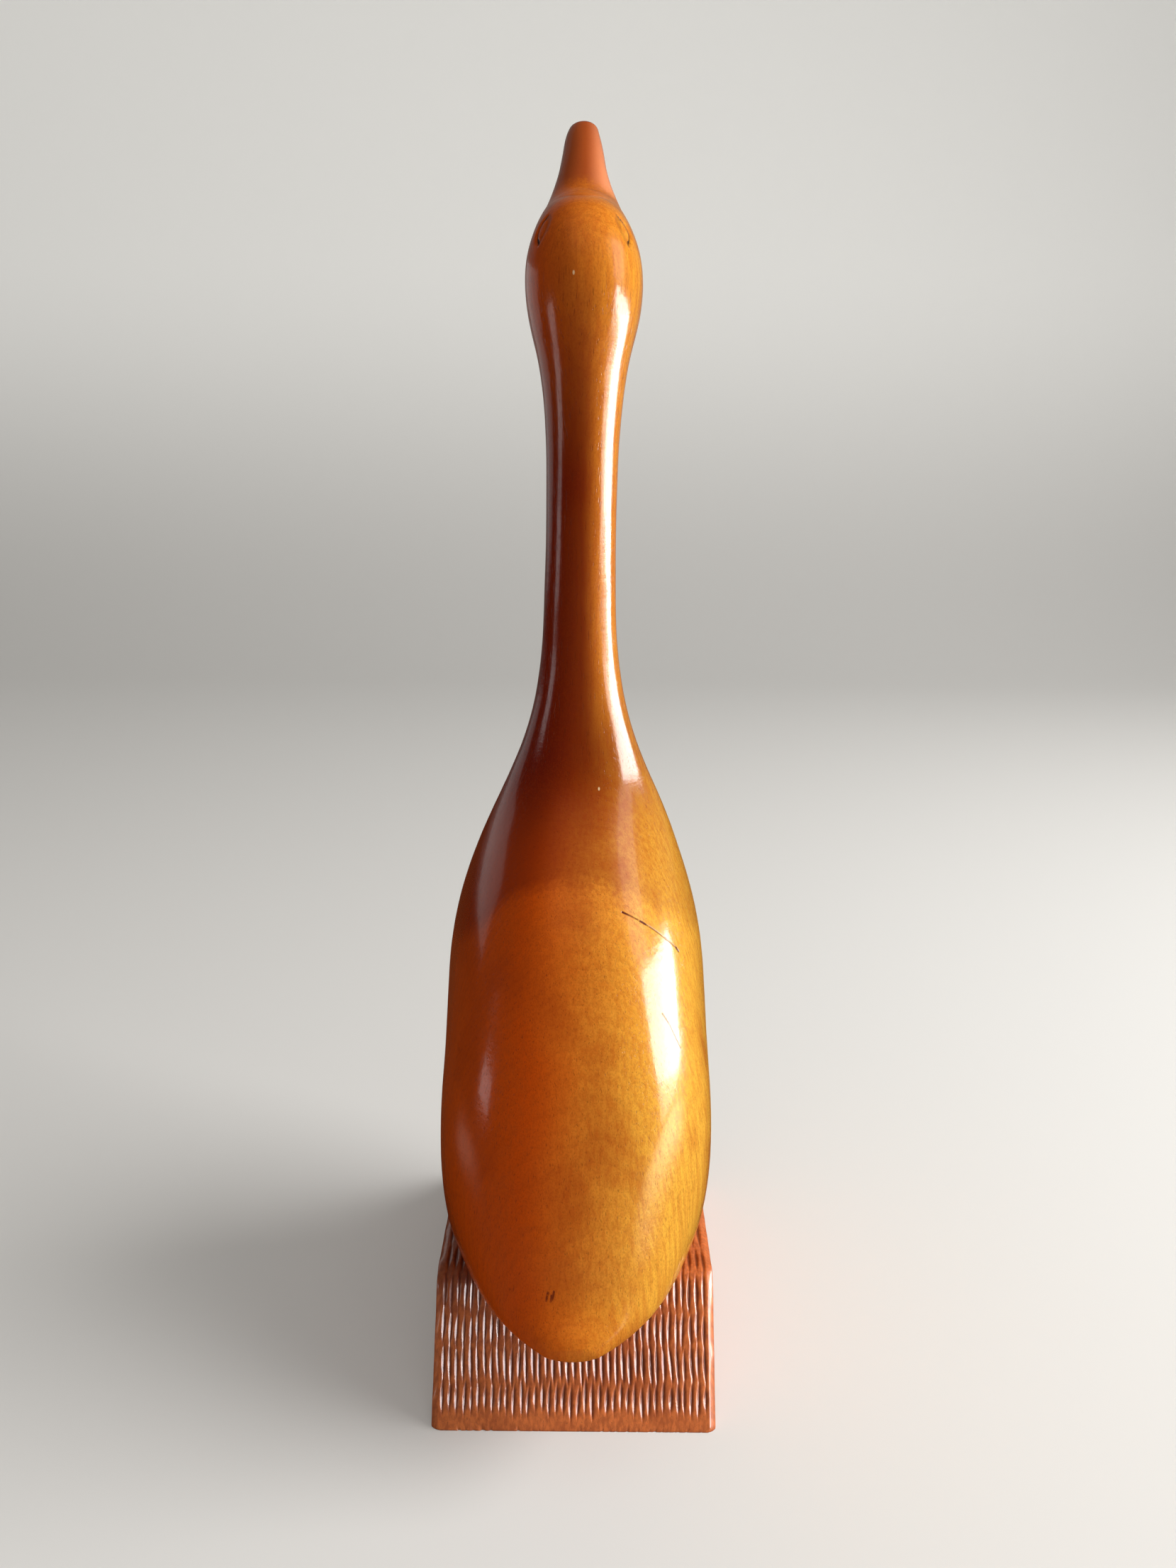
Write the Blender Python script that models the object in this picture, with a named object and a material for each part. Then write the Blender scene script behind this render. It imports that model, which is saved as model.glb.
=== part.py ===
"""Wooden loon carving: a slender bird and its gouge-cut base, carved from one block.

The whole carving is one solid. The bird's body is almost as wide as the base, because both were
sawn from one block of that thickness. Lengths are in metres. +Z is up, the bird looks along +Y,
and the origin is the middle of the base's underside.
"""

import math
import random

import bmesh
import bpy
from mathutils import Vector
from mathutils.bvhtree import BVHTree

# Base block: upright sides, near and far faces leaning in to a flat top
BASE_WIDTH = 0.0700
BASE_DEPTH = 0.1080
BASE_HEIGHT = 0.0315
FACE_LEAN = 0.0190          # how far each end face leans in on its way up
TOP_EDGE_RADIUS = 0.0070    # the end faces roll over into the top
SIDE_EDGE_RADIUS = 0.0016   # smooth edge along each side
PLAIN_STRIP = 0.0042        # uncut strip along the foot of each end face

# Gouge cuts: short lens-shaped grooves in rows
CUTS_ACROSS = 38
FACE_CUT_LENGTH = 0.0080    # on the end faces
TOP_CUT_LENGTH = 0.0120     # on the top
CUT_DEPTH = 0.0008
CUT_WIDTH_SHARE = 0.72      # a cut's width at its middle, as a share of the spacing
CUT_END_SHARE = 0.16        # its width at the pointed ends
CUT_WANDER = 0.0013         # how unevenly the carver ended the cuts
CUT_SEED = 7
CUT_ROOM = 0.0020           # no cuts where the belly is nearer to the top than this

# Bird, from the tail up
TAIL_OVERHANG = 0.0150      # how far the tail reaches past the base's near edge
BODY_LENGTH = 0.1080        # tip of the tail to the breast
BODY_HEIGHT = 0.1245        # base's top to the root of the neck
BODY_WIDTH = 0.0700
BELLY_SINK = 0.0050         # how deep the belly runs into the base
NECK_PLACE = 0.0695         # tip of the tail to the middle of the neck's root
NECK_LENGTH = 0.0810
NECK_WIDTH = 0.0170
NECK_DEPTH = 0.0175
HEAD_WIDTH = 0.0262
HEAD_LENGTH = 0.0305        # nape to chin
HEAD_HEIGHT = 0.0485
BILL_LENGTH = 0.0290
BILL_ANGLE = 51.0           # degrees above level
BILL_WIDTH = 0.0100
BILL_DEPTH = 0.0165
RING_POINTS = 26            # corners of each cross-section
SECTION_SPACING = 0.0055    # between the cross-sections

# Eyes: an almond left standing inside a carved groove
EYE_LENGTH = 0.0076
EYE_HEIGHT = 0.0046
EYE_TILT = 52.0             # degrees above level
EYE_GROOVE = 0.0006         # radius of the groove
EYE_DEPTH = 0.0006
EYE_POINTS = 20


def clear_scene():
    """Start from an empty scene."""
    for old in list(bpy.data.objects):
        bpy.data.objects.remove(old, do_unlink=True)


def wood(name, colour, roughness):
    """A varnished or stained wood."""
    material = bpy.data.materials.new(name)
    material.use_nodes = True
    shader = material.node_tree.nodes["Principled BSDF"]
    shader.inputs["Base Color"].default_value = (*colour, 1.0)
    shader.inputs["Roughness"].default_value = roughness
    shader.inputs["Metallic"].default_value = 0.0
    material.diffuse_color = (*colour, 1.0)
    return material


def add_object(name, mesh, material):
    """Put a mesh into the scene, shaded smooth apart from its real edges."""
    mesh.materials.append(material)
    mesh.shade_smooth()
    mesh.set_sharp_from_angle(angle=math.radians(35))
    thing = bpy.data.objects.new(name, mesh)
    bpy.context.scene.collection.objects.link(thing)
    return thing


def mesh_from(name, points, faces):
    """A closed mesh with its faces turned outwards."""
    mesh = bpy.data.meshes.new(name)
    mesh.from_pydata(points, [], faces)
    shape = bmesh.new()
    shape.from_mesh(mesh)
    bmesh.ops.recalc_face_normals(shape, faces=shape.faces)
    shape.to_mesh(mesh)
    shape.free()
    return mesh


class Path:
    """A line in the side view, read by the distance along it."""

    def __init__(self, points):
        self.points = [Vector(point) for point in points]
        self.reached = [0.0]
        for here, after in zip(self.points, self.points[1:]):
            self.reached.append(self.reached[-1] + (after - here).length)
        self.length = self.reached[-1]

    def at(self, distance):
        """The point there, and the direction that faces out of the wood."""
        span = 0
        while span < len(self.points) - 2 and self.reached[span + 1] < distance:
            span += 1
        here = self.points[span]
        along = (self.points[span + 1] - here).normalized()
        return here + along * (distance - self.reached[span]), Vector((-along.y, along.x))


def rounded_corner(before, corner, after, radius, steps=6):
    """Points of an arc that rounds one corner of a line."""
    back = (before - corner).normalized()
    ahead = (after - corner).normalized()
    half = back.angle(ahead) / 2
    middle = corner + (back + ahead).normalized() * radius / math.sin(half)
    start = corner + back * radius / math.tan(half)
    end = corner + ahead * radius / math.tan(half)
    first = start - middle
    turn = first.angle_signed(end - middle)
    arc = []
    for step in range(steps + 1):
        angle = -turn * step / steps
        c, s = math.cos(angle), math.sin(angle)
        arc.append(middle + Vector((c * first.x - s * first.y, s * first.x + c * first.y)))
    return arc


def base_path():
    """The base's outline in the side view: up the near face, over the top, down the far face."""
    half = BASE_DEPTH / 2
    foot_near = Vector((-half, 0.0))
    top_near = Vector((-half + FACE_LEAN, BASE_HEIGHT))
    top_far = Vector((half - FACE_LEAN, BASE_HEIGHT))
    foot_far = Vector((half, 0.0))
    points = [foot_near]
    points += rounded_corner(foot_near, top_near, top_far, TOP_EDGE_RADIUS)
    points += rounded_corner(top_near, top_far, foot_far, TOP_EDGE_RADIUS)
    points.append(foot_far)
    return Path(points)


def base_columns():
    """Places across the base: the smooth edge, then each cut's two lips and its valley.

    Each entry is the place of the valley, which of the three it is, and how far the rounded
    edge has dropped there.
    """
    half = BASE_WIDTH / 2
    spacing = (BASE_WIDTH - 2 * SIDE_EDGE_RADIUS) / CUTS_ACROSS
    columns = []
    edge = []
    for step in range(4):
        angle = math.radians(90 * step / 3)
        across = half - SIDE_EDGE_RADIUS * (1 - math.sin(angle))
        edge.append((across, "edge", SIDE_EDGE_RADIUS * (1 - math.cos(angle))))
    for across, kind, drop in reversed(edge):
        columns.append((-across, kind, drop))
    for cut in range(CUTS_ACROSS):
        valley = -half + SIDE_EDGE_RADIUS + (cut + 0.5) * spacing
        for kind in ("left lip", "valley", "right lip"):
            columns.append((valley, kind, 0.0))
    columns += edge
    return columns, spacing


def base_rows(length):
    """Distances along the outline: where the cuts end, and their middles in between."""
    face = math.hypot(FACE_LEAN, BASE_HEIGHT) - PLAIN_STRIP
    top = length - 2 * (face + PLAIN_STRIP)
    rows = [(0.0, "foot")]
    reached = PLAIN_STRIP
    for stretch, cut_length in ((face, FACE_CUT_LENGTH), (top, TOP_CUT_LENGTH), (face, FACE_CUT_LENGTH)):
        count = max(1, round(stretch / cut_length))
        for row in range(count):
            rows.append((reached + stretch * row / count, "end"))
            rows.append((reached + stretch * (row + 0.5) / count, "middle"))
        reached += stretch
    rows.append((reached, "end"))
    rows.append((length, "foot"))
    return rows


def room_above(skin, across, place):
    """How far the bird's underside is above a place on the base."""
    start = Vector((across, place.x, -BASE_HEIGHT))
    hit = skin.ray_cast(start, Vector((0, 0, 1)))[0]
    return math.inf if hit is None else hit.z - place.y


def base_mesh(skin):
    """The base block with its gouge cuts, which stop where the bird leaves no room for them."""
    chance = random.Random(CUT_SEED)
    path = base_path()
    columns, spacing = base_columns()
    rows = base_rows(path.length)
    points = []
    for distance, stage in rows:
        wander, slide = 0.0, 0.0
        for across, kind, drop in columns:
            if kind == "left lip" and stage != "foot":
                wander = chance.uniform(-1, 1) * CUT_WANDER
                slide = chance.uniform(-1, 1) * spacing * (1 - CUT_WIDTH_SHARE) / 2
            if kind == "edge" or stage == "foot":
                wander, slide = 0.0, 0.0
            share = CUT_END_SHARE if stage == "end" else CUT_WIDTH_SHARE
            side = {"left lip": -0.5, "right lip": 0.5}.get(kind, 0.0)
            depth = drop
            place, out = path.at(distance + wander)
            if kind == "valley" and stage == "middle" and room_above(skin, across, place) > CUT_ROOM:
                depth += CUT_DEPTH
            if stage == "foot":
                place = place + Vector((-depth / out.x, 0.0))
            else:
                place = place - out * depth
            points.append((across + slide + side * share * spacing, place.x, place.y))
    faces = []
    width = len(columns)
    for row in range(len(rows) - 1):
        for column in range(width - 1):
            corner = row * width + column
            faces.append((corner, corner + 1, corner + width + 1, corner + width))
    last = (len(rows) - 1) * width
    faces.append([last + column for column in range(width)] + list(range(width - 1, -1, -1)))
    faces.append([row * width for row in range(len(rows))])
    faces.append([row * width + width - 1 for row in range(len(rows) - 1, -1, -1)])
    return mesh_from("base", points, faces)


def body(along, up):
    """A place on the body in the side view, in shares of its length and height."""
    tail = -BASE_DEPTH / 2 - TAIL_OVERHANG
    return Vector((tail + along * BODY_LENGTH, BASE_HEIGHT + up * BODY_HEIGHT))


def neck(along, up):
    """A place on the neck, from the middle of its root, in shares of its depth and length."""
    root = body(0, 1) + Vector((NECK_PLACE, 0))
    return root + Vector((along * NECK_DEPTH, up * NECK_LENGTH))


def head(along, up):
    """A place on the head, from the top of the neck, in shares of its length and height."""
    return neck(-0.2, 1) + Vector((along * HEAD_LENGTH, up * HEAD_HEIGHT))


def bill(along, up):
    """A place on the bill, from the middle of its root, along and across its own direction."""
    angle = math.radians(BILL_ANGLE)
    outward = Vector((math.cos(angle), math.sin(angle)))
    across = Vector((-outward.y, outward.x))
    return head(0.51, 0.974) + outward * along * BILL_LENGTH + across * up * BILL_DEPTH


def bird_ribs():
    """Cross-sections from the tail to the bill.

    Each rib is its back point and its front point in the side view, where its widest line lies
    between them, its width, how square it is across, and how full it is behind the widest line
    (two and two make an oval).
    """
    belly = -BELLY_SINK / BODY_HEIGHT
    return (
        (body(0.000, 0.038), body(0.005, 0.025), 0.60, 0.13 * BODY_WIDTH, 2.0, 2.0),
        (body(0.011, 0.056), body(0.032, 0.018), 0.70, 0.24 * BODY_WIDTH, 2.0, 2.0),
        (body(0.042, 0.092), body(0.093, 0.016), 0.75, 0.43 * BODY_WIDTH, 2.0, 2.0),
        (body(0.074, 0.173), body(0.185, 0.012), 0.78, 0.625 * BODY_WIDTH, 2.1, 2.1),
        (body(0.111, 0.277), body(0.315, -0.002), 0.73, 0.79 * BODY_WIDTH, 2.2, 2.2),
        (body(0.153, 0.390), body(0.481, belly), 0.65, 0.93 * BODY_WIDTH, 2.3, 2.3),
        (body(0.204, 0.510), body(0.685, belly), 0.54, 0.996 * BODY_WIDTH, 2.3, 2.2),
        (body(0.269, 0.631), body(0.870, 0.048), 0.50, 0.992 * BODY_WIDTH, 2.3, 2.0),
        (body(0.333, 0.735), body(0.981, 0.245), 0.53, 0.985 * BODY_WIDTH, 2.4, 1.75),
        (body(0.417, 0.827), body(1.000, 0.454), 0.55, 0.945 * BODY_WIDTH, 2.4, 1.55),
        (body(0.500, 0.908), body(0.954, 0.655), 0.545, 0.797 * BODY_WIDTH, 2.4, 1.45),
        (body(0.551, 0.984), body(0.861, 0.831), 0.51, 0.606 * BODY_WIDTH, 2.4, 1.45),
        (neck(-0.486, 0.173), neck(0.771, 0.025), 0.50, 1.56 * NECK_WIDTH, 2.3, 1.65),
        (neck(-0.514, 0.395), neck(0.486, 0.346), 0.50, 1.10 * NECK_WIDTH, 2.1, 1.9),
        (neck(-0.629, 0.716), neck(0.343, 0.704), 0.50, 0.99 * NECK_WIDTH, 2.0, 2.0),
        (neck(-0.743, 1.000), neck(0.343, 1.025), 0.50, 1.045 * NECK_WIDTH, 2.0, 2.0),
        (head(-0.410, 0.351), head(0.377, 0.247), 0.50, 0.81 * HEAD_WIDTH, 2.0, 2.0),
        (head(-0.470, 0.619), head(0.492, 0.392), 0.50, 0.985 * HEAD_WIDTH, 2.1, 2.1),
        (head(-0.345, 0.866), head(0.590, 0.557), 0.50, 0.99 * HEAD_WIDTH, 2.1, 2.1),
        (head(-0.033, 1.000), head(0.672, 0.732), 0.48, 0.80 * HEAD_WIDTH, 2.1, 2.1),
        (bill(-0.062, 0.496), bill(0.062, -0.496), 0.45, 1.77 * BILL_WIDTH, 2.0, 2.0),
        (bill(0.382, 0.349), bill(0.401, -0.365), 0.50, 1.21 * BILL_WIDTH, 2.0, 2.0),
        (bill(0.768, 0.235), bill(0.750, -0.258), 0.50, 0.92 * BILL_WIDTH, 2.0, 2.0),
        (bill(0.934, 0.161), bill(0.934, -0.205), 0.50, 0.76 * BILL_WIDTH, 2.0, 2.0),
        (bill(0.997, 0.124), bill(0.993, -0.121), 0.50, 0.46 * BILL_WIDTH, 2.0, 2.0),
    )


def between(first, second, third, fourth, share):
    """A smooth curve through the second and third values (Catmull-Rom)."""
    slope_in = (third - first) / 2
    slope_out = (fourth - second) / 2
    s2, s3 = share * share, share ** 3
    return (second * (2 * s3 - 3 * s2 + 1) + slope_in * (s3 - 2 * s2 + share)
            + third * (3 * s2 - 2 * s3) + slope_out * (s3 - s2))


def bird_sections():
    """The ribs with smooth cross-sections between them."""
    ribs = bird_ribs()
    sections = []
    for rib in range(len(ribs) - 1):
        four = [ribs[min(max(rib + offset, 0), len(ribs) - 1)] for offset in (-1, 0, 1, 2)]
        gap = (four[2][0] - four[1][0]).length + (four[2][1] - four[1][1]).length
        steps = max(1, round(gap / 2 / SECTION_SPACING))
        for step in range(steps):
            sections.append([between(*values, step / steps) for values in zip(*four)])
    sections.append(list(ribs[-1]))
    return sections


def ring(section, count):
    """The corners of one cross-section, from its back round by the right side."""
    back, front, widest, width, flat, flank = section
    middle = back.lerp(front, widest)
    corners = []
    for corner in range(count):
        angle = 2 * math.pi * corner / count
        c, s = math.cos(angle), math.sin(angle)
        fullness = flank if c > 0 else max(flat, 2)
        depth = math.copysign(abs(c) ** (2 / fullness), c)
        across = math.copysign(abs(s) ** (2 / flat), s)
        place = middle.lerp(back, depth) if depth > 0 else middle.lerp(front, -depth)
        corners.append((across * width / 2, place.x, place.y))
    return corners


def bird_mesh():
    """The bird as one skin through its cross-sections, closed at tail and bill."""
    sections = bird_sections()
    points = []
    for section in sections:
        points += ring(section, RING_POINTS)
    faces = []
    for row in range(len(sections) - 1):
        for corner in range(RING_POINTS):
            after = (corner + 1) % RING_POINTS
            low, high = row * RING_POINTS, (row + 1) * RING_POINTS
            faces.append((low + corner, low + after, high + after, high + corner))
    last = (len(sections) - 1) * RING_POINTS
    faces.append(list(range(RING_POINTS)))
    faces.append([last + corner for corner in range(RING_POINTS)])
    return mesh_from("loon_carving", points, faces)


def almond(share):
    """A point of the eye's outline in the side view, a share of the way round."""
    angle = 2 * math.pi * share
    c, s = math.cos(angle), math.sin(angle)
    along = c * EYE_LENGTH / 2
    across = math.copysign(abs(s) ** 1.4, s) * EYE_HEIGHT / 2
    tilt = math.radians(EYE_TILT)
    return head(-0.125, 0.83) + Vector((
        along * math.cos(tilt) - across * math.sin(tilt),
        along * math.sin(tilt) + across * math.cos(tilt),
    ))


def eye_cutter(skin, side):
    """A bent ring that follows the head's surface round one eye."""
    places = []
    for step in range(EYE_POINTS):
        spot = almond(step / EYE_POINTS)
        outside = Vector((side * HEAD_WIDTH, spot.x, spot.y))
        place, out, _, _ = skin.ray_cast(outside, Vector((-side, 0, 0)))
        places.append((place, out))
    sides = 6
    points = []
    for step, (place, out) in enumerate(places):
        along = places[(step + 1) % EYE_POINTS][0] - places[step - 1][0]
        across = along.cross(out).normalized()
        middle = place + out * (EYE_GROOVE - EYE_DEPTH)
        for corner in range(sides):
            angle = 2 * math.pi * corner / sides
            points.append(middle + (out * math.cos(angle) + across * math.sin(angle)) * EYE_GROOVE)
    faces = []
    for step in range(EYE_POINTS):
        here, after = step * sides, (step + 1) % EYE_POINTS * sides
        for corner in range(sides):
            turned = (corner + 1) % sides
            faces.append((here + corner, here + turned, after + turned, after + corner))
    return mesh_from("eye groove", points, faces)


def hide(guide):
    """Keep a helper out of the finished carving."""
    guide.hide_render = True
    guide.display_type = "WIRE"


def combine(bird, other, name, operation):
    """Join another shape to the bird, or cut it away."""
    hide(other)
    step = bird.modifiers.new(name, "BOOLEAN")
    step.operation = operation
    step.solver = "EXACT"
    step.object = other
    step.material_mode = "TRANSFER"


def carve():
    """The bird and the base as one solid, with the eyes cut in."""
    amber = wood("amber varnished wood", (0.62, 0.27, 0.055), 0.25)
    brown = wood("brown stained wood", (0.23, 0.075, 0.035), 0.35)
    bird = add_object("loon_carving", bird_mesh(), amber)
    skin = BVHTree.FromPolygons(
        [vertex.co for vertex in bird.data.vertices],
        [face.vertices for face in bird.data.polygons],
    )
    base = add_object("base_block", base_mesh(skin), brown)
    combine(bird, base, "stands on its base", "UNION")
    for name, side in (("left_eye_groove", -1), ("right_eye_groove", 1)):
        groove = add_object(name, eye_cutter(skin, side), amber)
        combine(bird, groove, name.replace("_", " "), "DIFFERENCE")


clear_scene()
carve()
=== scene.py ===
# %% [markdown]
# # A loon carved from one block
# The carving is one piece of wood: a slender bird with its bill raised, on a base whose ends
# slope like a wedge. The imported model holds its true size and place. This script gives it the
# surface that a hand would feel and an eye would see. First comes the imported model, whose box
# nothing here may leave.

# %% Load the carving
import math
import random

import bmesh
import bpy
import numpy as np
from mathutils import Matrix, Quaternion, Vector, noise
from mathutils.bvhtree import BVHTree


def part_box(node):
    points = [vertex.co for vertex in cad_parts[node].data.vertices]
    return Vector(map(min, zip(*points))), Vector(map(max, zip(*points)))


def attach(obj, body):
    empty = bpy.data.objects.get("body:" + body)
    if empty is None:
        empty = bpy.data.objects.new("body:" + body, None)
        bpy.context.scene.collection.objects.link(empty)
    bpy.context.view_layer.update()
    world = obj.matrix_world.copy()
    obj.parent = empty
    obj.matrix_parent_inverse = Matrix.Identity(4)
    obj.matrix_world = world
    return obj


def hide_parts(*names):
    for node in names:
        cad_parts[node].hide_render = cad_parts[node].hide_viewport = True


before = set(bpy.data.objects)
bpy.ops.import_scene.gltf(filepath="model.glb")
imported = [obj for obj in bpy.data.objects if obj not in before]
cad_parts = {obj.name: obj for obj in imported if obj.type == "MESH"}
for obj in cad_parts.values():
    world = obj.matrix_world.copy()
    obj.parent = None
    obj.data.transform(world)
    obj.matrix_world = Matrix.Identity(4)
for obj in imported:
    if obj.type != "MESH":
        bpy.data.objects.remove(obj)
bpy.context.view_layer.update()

CARVING = "loon_carving"
MM = 0.001

low, high = (Vector(corner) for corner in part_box(CARVING))
print("carving's box in mm:", [round(value / MM, 1) for value in (*low, *high)])

# %% [markdown]
# ## The camera
# The bird is seen from behind its tail and a little above. A wide lens held close makes the near
# things look large, so distance and lens matter as much as direction: here the base looks wider
# than the body that is just as wide. The lens is worked out from its length in pixels. The camera
# comes first, because every later choice is judged through it.

# %% Place the camera
PICTURE_HEIGHT = 2212           # pixels
FOCAL_LENGTH = 1662             # pixels
CAMERA_PLACE = Vector((2.2, -287.8, 232.4)) * MM
LOOK_DOWN = 16.0                # degrees
ROLL = 0.5                      # degrees, the camera was held a little askew

camera_data = bpy.data.cameras.new("camera")
camera_data.sensor_fit = "VERTICAL"
camera_data.sensor_height = 36
camera_data.lens = camera_data.sensor_height * FOCAL_LENGTH / PICTURE_HEIGHT
camera_data.clip_start = 0.01
camera = bpy.data.objects.new("camera", camera_data)
pitched = Matrix.Rotation(math.radians(90 - LOOK_DOWN), 4, "X")
rolled = Matrix.Rotation(math.radians(ROLL), 4, "Z")
camera.matrix_world = Matrix.Translation(CAMERA_PLACE) @ pitched @ rolled
bpy.context.scene.collection.objects.link(camera)
bpy.context.scene.camera = camera
bpy.context.scene.view_settings.view_transform = "Standard"
print("lens", round(camera_data.lens, 2), "mm")

# %% [markdown]
# ## The carver's drawing
# A carver draws the side view on the block first. The lengths are those of the part's source, and
# so are nearly all the ribs, so that this skin lies where the solid does: it is a hair slimmer at
# the shoulders, thinner at the tail and rounder at the bill's tip. Each helper turns shares of one
# part of the bird into a place in the side view, and each rib is a cross-section there: its back
# point, its front point, where its widest line lies, its width, how flat it is across and how full
# its flanks are behind the widest line. Two and two make an oval. No carving is quite straight, so
# a second list says how far each rib sways to the side.

# %% Repeat the lengths and the ribs
BASE_WIDTH = 70.0 * MM
BASE_DEPTH = 108.0 * MM
BASE_HEIGHT = 31.5 * MM
TAIL_OVERHANG = 15.0 * MM
BODY_LENGTH = 108.0 * MM
BODY_HEIGHT = 124.5 * MM
BODY_WIDTH = 70.0 * MM
BELLY_SINK = 5.0 * MM
NECK_PLACE = 69.5 * MM
NECK_LENGTH = 81.0 * MM
NECK_WIDTH = 17.0 * MM
NECK_DEPTH = 17.5 * MM
HEAD_WIDTH = 26.2 * MM
HEAD_LENGTH = 30.5 * MM
HEAD_HEIGHT = 48.5 * MM
BILL_LENGTH = 29.0 * MM
BILL_ANGLE = math.radians(51)
BILL_WIDTH = 10.0 * MM
BILL_DEPTH = 16.5 * MM
BILL_OUTWARD = Vector((math.cos(BILL_ANGLE), math.sin(BILL_ANGLE)))
BILL_ACROSS = Vector((-BILL_OUTWARD.y, BILL_OUTWARD.x))


def body(along, up):
    tail = -BASE_DEPTH / 2 - TAIL_OVERHANG
    return Vector((tail + along * BODY_LENGTH, BASE_HEIGHT + up * BODY_HEIGHT))


def neck(along, up):
    return body(0, 1) + Vector((NECK_PLACE + along * NECK_DEPTH, up * NECK_LENGTH))


def head(along, up):
    return neck(-0.2, 1) + Vector((along * HEAD_LENGTH, up * HEAD_HEIGHT))


BILL_ROOT = head(0.51, 0.974)


def bill(along, up):
    return BILL_ROOT + BILL_OUTWARD * along * BILL_LENGTH + BILL_ACROSS * up * BILL_DEPTH


BELLY = -BELLY_SINK / BODY_HEIGHT
RIBS = (
    (body(0.000, 0.036), body(0.004, 0.014), 0.60, 0.13 * BODY_WIDTH, 2.0, 2.0),
    (body(0.011, 0.056), body(0.032, 0.013), 0.70, 0.237 * BODY_WIDTH, 2.0, 2.0),
    (body(0.042, 0.092), body(0.093, 0.014), 0.75, 0.43 * BODY_WIDTH, 2.0, 2.0),
    (body(0.074, 0.173), body(0.185, 0.012), 0.78, 0.625 * BODY_WIDTH, 2.1, 2.1),
    (body(0.111, 0.277), body(0.315, -0.002), 0.73, 0.79 * BODY_WIDTH, 2.2, 2.2),
    (body(0.153, 0.390), body(0.481, BELLY), 0.65, 0.93 * BODY_WIDTH, 2.3, 2.3),
    (body(0.204, 0.510), body(0.685, BELLY), 0.54, 0.996 * BODY_WIDTH, 2.3, 2.2),
    (body(0.269, 0.631), body(0.870, 0.048), 0.50, 0.992 * BODY_WIDTH, 2.3, 2.0),
    (body(0.333, 0.735), body(0.981, 0.245), 0.53, 0.985 * BODY_WIDTH, 2.4, 1.75),
    (body(0.417, 0.827), body(1.000, 0.454), 0.55, 0.936 * BODY_WIDTH, 2.4, 1.55),
    (body(0.500, 0.908), body(0.954, 0.655), 0.545, 0.792 * BODY_WIDTH, 2.4, 1.45),
    (body(0.551, 0.984), body(0.861, 0.831), 0.51, 0.604 * BODY_WIDTH, 2.4, 1.45),
    (neck(-0.486, 0.173), neck(0.771, 0.025), 0.50, 1.56 * NECK_WIDTH, 2.3, 1.65),
    (neck(-0.514, 0.395), neck(0.486, 0.346), 0.50, 1.10 * NECK_WIDTH, 2.1, 1.9),
    (neck(-0.629, 0.716), neck(0.343, 0.704), 0.50, 0.99 * NECK_WIDTH, 2.0, 2.0),
    (neck(-0.743, 1.000), neck(0.343, 1.025), 0.50, 1.045 * NECK_WIDTH, 2.0, 2.0),
    (head(-0.410, 0.351), head(0.377, 0.247), 0.50, 0.81 * HEAD_WIDTH, 2.0, 2.0),
    (head(-0.470, 0.619), head(0.492, 0.392), 0.50, 0.985 * HEAD_WIDTH, 2.1, 2.1),
    (head(-0.345, 0.866), head(0.590, 0.557), 0.50, 0.99 * HEAD_WIDTH, 2.1, 2.1),
    (head(-0.033, 1.000), head(0.672, 0.732), 0.48, 0.80 * HEAD_WIDTH, 2.1, 2.1),
    (bill(-0.062, 0.496), bill(0.062, -0.496), 0.45, 1.77 * BILL_WIDTH, 2.0, 2.0),
    (bill(0.382, 0.349), bill(0.401, -0.365), 0.50, 1.21 * BILL_WIDTH, 2.0, 2.0),
    (bill(0.768, 0.235), bill(0.750, -0.258), 0.50, 0.92 * BILL_WIDTH, 2.0, 2.0),
    (bill(0.934, 0.161), bill(0.934, -0.205), 0.50, 0.76 * BILL_WIDTH, 2.0, 2.0),
    (bill(1.047, 0.100), bill(1.043, -0.110), 0.50, 0.58 * BILL_WIDTH, 2.0, 2.0),
)
SWAY = (-0.4, -0.3, -0.2, -0.1, -0.2, -0.25, -0.12, -0.2, -0.45, -0.55, -0.45, -0.1, 0.0, -0.1, 0.0,
        0.35, 0.4, 0.35, 0.2, 0.0, 0.0, -0.2, -0.3, -0.3, 0.0)     # sideways, in millimetres
print(len(RIBS), "ribs from the tail to the bill")

# %% [markdown]
# ## One skin through the ribs
# Sandpaper leaves no steps, and varnish shows every one: a reflection kinks wherever the
# curvature jumps. A subdivision surface would pull the skin off its ribs, so the ribs are joined
# by a natural cubic spline, which passes through each of them and bends evenly between them. It
# solves one small set of equations for how strongly the line bends at each rib.

# %% Join the ribs with a smooth curve
RIB_ROWS = np.array([
    (*back, *front, *rest, sway * MM)
    for (back, front, *rest), sway in zip(RIBS, SWAY)
])
RIB_MIDDLES = (RIB_ROWS[:, 0:2] + RIB_ROWS[:, 2:4]) / 2
RIB_REACH = np.concatenate([[0], np.cumsum(np.linalg.norm(np.diff(RIB_MIDDLES, axis=0), axis=1))])


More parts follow.
